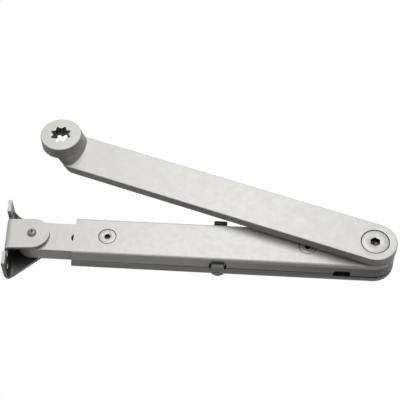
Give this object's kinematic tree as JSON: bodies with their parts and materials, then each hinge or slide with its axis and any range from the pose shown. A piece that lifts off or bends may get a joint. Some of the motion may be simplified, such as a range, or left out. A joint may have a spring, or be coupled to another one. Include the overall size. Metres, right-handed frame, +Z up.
{
  "type": "door closer arm",
  "caption": "Folding arm for a door closer: forged main arm with a splined hub, sprung forearm of adjustable length with a cross selector, and a pivoting screw-on shoe.",
  "frame": {"origin": "middle of the shoe's two screw holes, on its back face", "axes": "+X out of the door frame's face and towards the elbow, +Z up along the pivots, +Y along the frame"},
  "size_m": [0.3449, 0.1479, 0.0539],
  "materials": {
    "arm_finish": "satin silver with a fine grain",
    "screw_steel": "zinc plated, satin",
    "pin_steel": "turned steel, satin",
    "hardened_steel": "dark hardened steel",
    "bearing_bronze": "sintered bronze, matt",
    "washer_steel": "satin steel",
    "spring_steel": "dark spring steel"
  },
  "bodies": {
    "shoe": {"shoe_bracket": "arm_finish", "shoe_pivot_pin": "pin_steel", "shoe_pivot_screw": "screw_steel", "shoe_lower_washer": "washer_steel", "shoe_upper_washer": "washer_steel"},
    "rod": {"adjusting_rod": "arm_finish", "rod_bush": "bearing_bronze"},
    "forearm": {"forearm_upper_shell": "arm_finish", "forearm_lower_shell": "arm_finish", "clamp_screw": "screw_steel", "guide_screw": "screw_steel", "elbow_upper_bush": "bearing_bronze", "elbow_lower_bush": "bearing_bronze", "elbow_thrust_washer": "washer_steel", "selector_guide": "hardened_steel", "block_dowels": "pin_steel", "spring_washer": "washer_steel", "stop_spring": "spring_steel"},
    "follower": {"cam_follower": "hardened_steel", "follower_stem": "pin_steel"},
    "selector": {"selector_pin": "pin_steel", "selector_rings": "washer_steel"},
    "arm": {"main_arm": "arm_finish", "elbow_screw": "screw_steel", "elbow_spindle": "pin_steel"}
  },
  "joints": [
    {"name": "shoe_swivel", "type": "hinge", "parent": "shoe", "child": "rod", "pos_m": [0.0238, 0, 0], "axis": [0, 0, 1], "range_deg": [-85, 85]},
    {"name": "length_adjust", "type": "slide", "parent": "rod", "child": "forearm", "axis": [0.9976, -0.0698, 0], "range_m": [0, 0.04]},
    {"name": "elbow", "type": "hinge", "parent": "forearm", "child": "arm", "pos_m": [0.32546, -0.02109, 0], "axis": [0, 0, -1], "range_deg": [-12, 130]},
    {"name": "follower_slide", "type": "slide", "parent": "forearm", "child": "follower", "axis": [-0.9976, 0.0698, 0], "range_m": [-0.0003, 0.0028], "stiffness_N_per_m": 3000, "springref_m": -0.0015, "deforming": ["stop_spring"]},
    {"name": "selector_slide", "type": "slide", "parent": "forearm", "child": "selector", "axis": [-0.0698, -0.9976, 0], "range_m": [0, 0.003]}
  ],
  "couplings": [
    {"joint": "follower_slide", "follows": "elbow", "m_per_rad": 0.0012}
  ]
}
